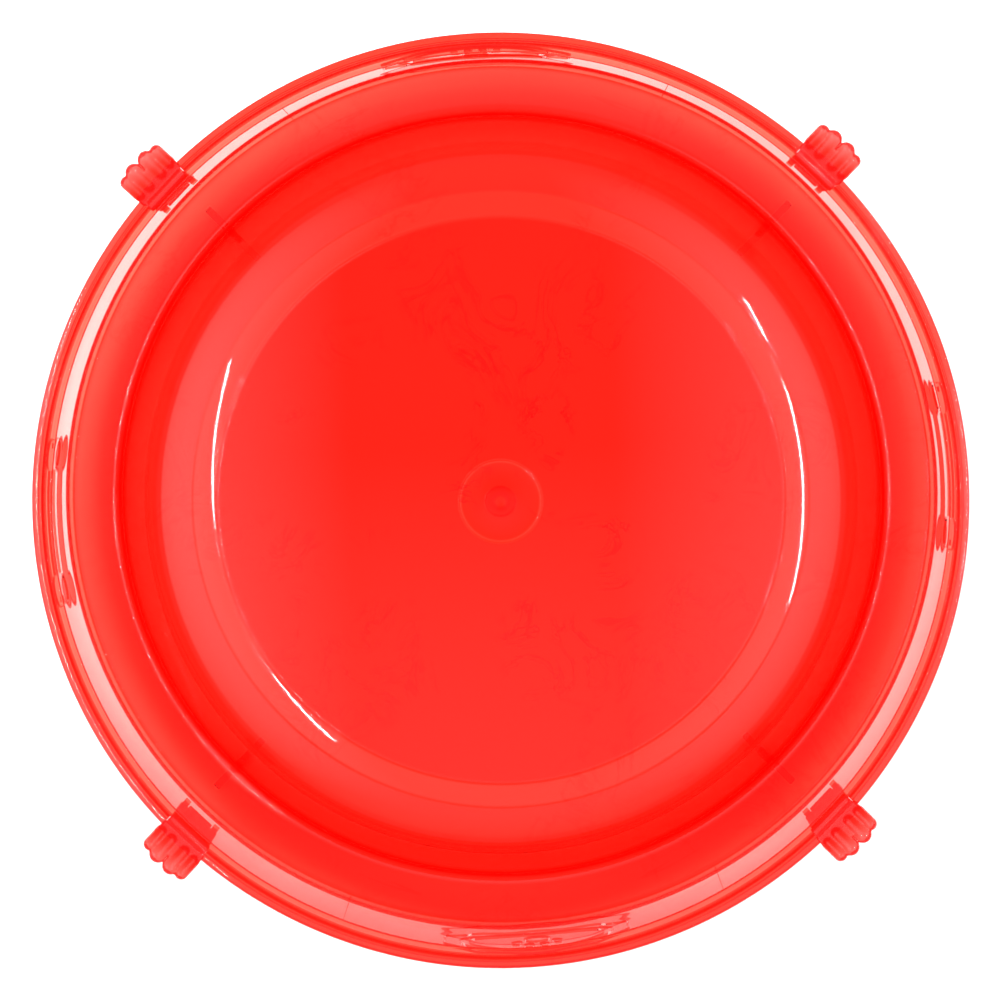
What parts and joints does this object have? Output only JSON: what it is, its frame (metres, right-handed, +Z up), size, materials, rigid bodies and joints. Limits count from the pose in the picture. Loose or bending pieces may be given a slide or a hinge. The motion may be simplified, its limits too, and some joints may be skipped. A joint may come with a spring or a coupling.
{
  "type": "pet cage base pan",
  "caption": "Round translucent base pan for a small pet cage, with a moat, a raised middle, a seat for the cage's top and hinged snap clips on its rim.",
  "frame": {"origin": "middle of the foot ring, on the surface that the pan stands on", "axes": "+Z up through the open top; the clips stand at 45 degrees to +X and +Y"},
  "size_m": [0.3, 0.3, 0.0548],
  "materials": {
    "pan_plastic": "translucent red, glossy",
    "clip_plastic": "translucent red, satin"
  },
  "bodies": {
    "pan": {"base_pan": "pan_plastic"},
    "clip_back_right_body": {"clip_back_right": "clip_plastic"},
    "clip_back_left_body": {"clip_back_left": "clip_plastic"},
    "clip_front_left_body": {"clip_front_left": "clip_plastic"},
    "clip_front_right_body": {"clip_front_right": "clip_plastic"}
  },
  "joints": [
    {"name": "clip_back_right_hinge", "type": "hinge", "parent": "pan", "child": "clip_back_right_body", "pos_m": [0.10438, 0.10438, 0.0135], "axis": [-0.7071, 0.7071, 0], "range_deg": [0, 85]},
    {"name": "clip_back_left_hinge", "type": "hinge", "parent": "pan", "child": "clip_back_left_body", "pos_m": [-0.10438, 0.10438, 0.0135], "axis": [-0.7071, -0.7071, 0], "range_deg": [0, 85]},
    {"name": "clip_front_left_hinge", "type": "hinge", "parent": "pan", "child": "clip_front_left_body", "pos_m": [-0.10438, -0.10438, 0.0135], "axis": [0.7071, -0.7071, 0], "range_deg": [0, 85]},
    {"name": "clip_front_right_hinge", "type": "hinge", "parent": "pan", "child": "clip_front_right_body", "pos_m": [0.10438, -0.10438, 0.0135], "axis": [0.7071, 0.7071, 0], "range_deg": [0, 85]}
  ]
}
